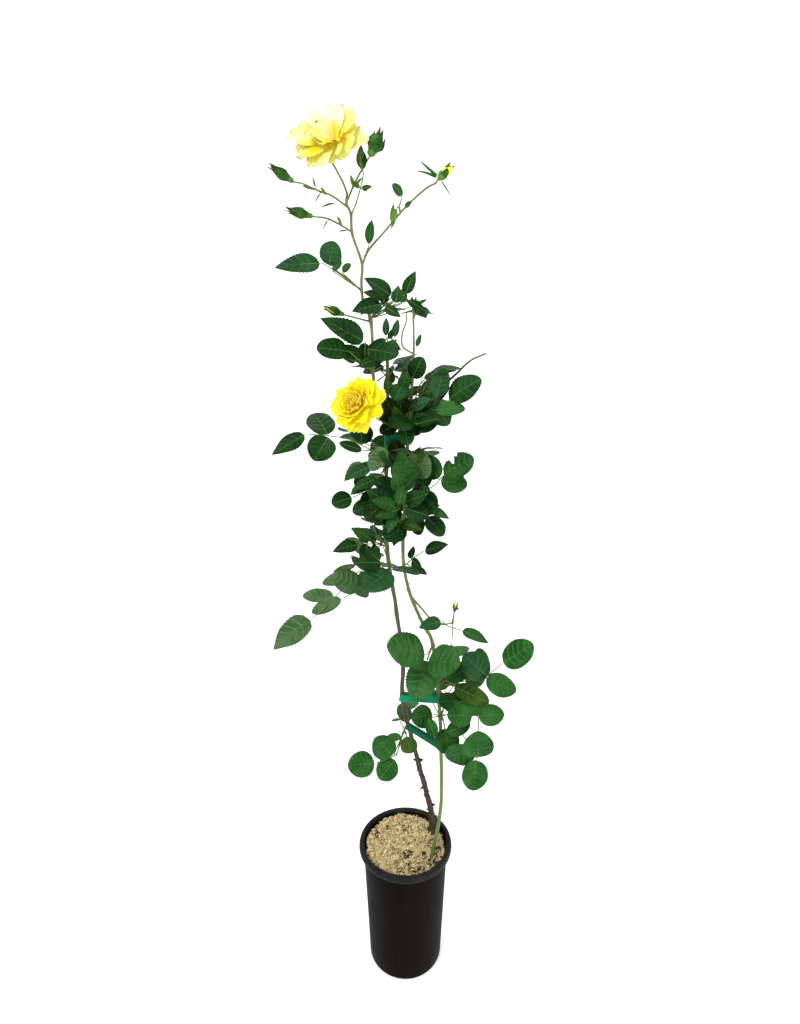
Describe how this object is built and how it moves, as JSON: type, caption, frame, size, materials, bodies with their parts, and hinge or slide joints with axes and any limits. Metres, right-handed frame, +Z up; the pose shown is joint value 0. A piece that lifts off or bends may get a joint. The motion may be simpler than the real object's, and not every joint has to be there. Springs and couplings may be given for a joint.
{
  "type": "potted climbing rose bush",
  "caption": "Tall potted climbing rose: tied thorny canes with leafy shoots, yellow double blooms and green buds, in a deep black nursery pot.",
  "frame": {"origin": "centre of the pot's flat underside, on the ground the pot stands on", "axes": "+Z up along the plant, -Y towards the front that the picture shows, +X to its right"},
  "size_m": [0.416, 0.2756, 1.4957],
  "materials": {
    "pot_plastic": "satin",
    "potting_mix": "matte",
    "wood_shavings": "matte",
    "brown_bark": "matte",
    "green_bark": "satin",
    "young_bark": "satin",
    "dry_bark": "matte",
    "tie_tape": "satin",
    "foliage": "satin",
    "pale_petals": "matte",
    "bright_petals": "matte",
    "bud_green": "satin"
  },
  "bodies": {
    "root": {"pot": "pot_plastic", "potting_mix": "potting_mix", "shavings_mulch": "wood_shavings", "woody_shank": "brown_bark", "left_cane": "green_bark", "right_cane": "young_bark", "right_cane_tip": "young_bark", "thin_side_shoot": "young_bark", "flower_cane": "young_bark", "flower_branch_right": "young_bark", "dried_twig": "dry_bark", "short_lateral": "young_bark", "tie_upper": "tie_tape", "tie_middle": "tie_tape", "tie_lower": "tie_tape", "tie_slanting": "tie_tape", "top_bloom": "pale_petals", "mid_bloom": "bright_petals", "bud_left_upper": "bud_green", "bud_left_lower": "bud_green", "bud_top_right": "bud_green", "bud_mid_left": "bud_green", "bud_right_open": "bud_green", "spent_calyx": "bud_green", "small_bud_shoot": "bud_green", "leaf_top_left": "foliage", "leaf_at_fork": "foliage", "bract_shoot": "foliage", "bracts_right": "foliage", "leaves_top_right": "foliage", "leaf_right_tip": "foliage", "leaves_upper_left": "foliage", "leaves_upper_back": "foliage", "young_shoots": "foliage", "leaf_right_upper": "foliage", "leaves_right_pointed": "foliage", "leaves_right_round": "foliage", "leaf_mid_left": "foliage", "leaves_pale_left": "foliage", "leaf_pale_right": "foliage", "leaf_round_left": "foliage", "leaves_front_middle": "foliage", "leaf_bitten": "foliage", "leaves_right_middle": "foliage", "leaf_bundle_left": "foliage", "leaf_bundle_right": "foliage", "leaves_front_blue": "foliage", "long_leaf_lower_left": "foliage", "leaves_short_lateral": "foliage", "big_leaves_front": "foliage", "leaf_right_long": "foliage", "leaf_right_hanging": "foliage", "leaves_right_inner": "foliage", "leaf_lowest_left": "foliage"}
  },
  "joints": []
}
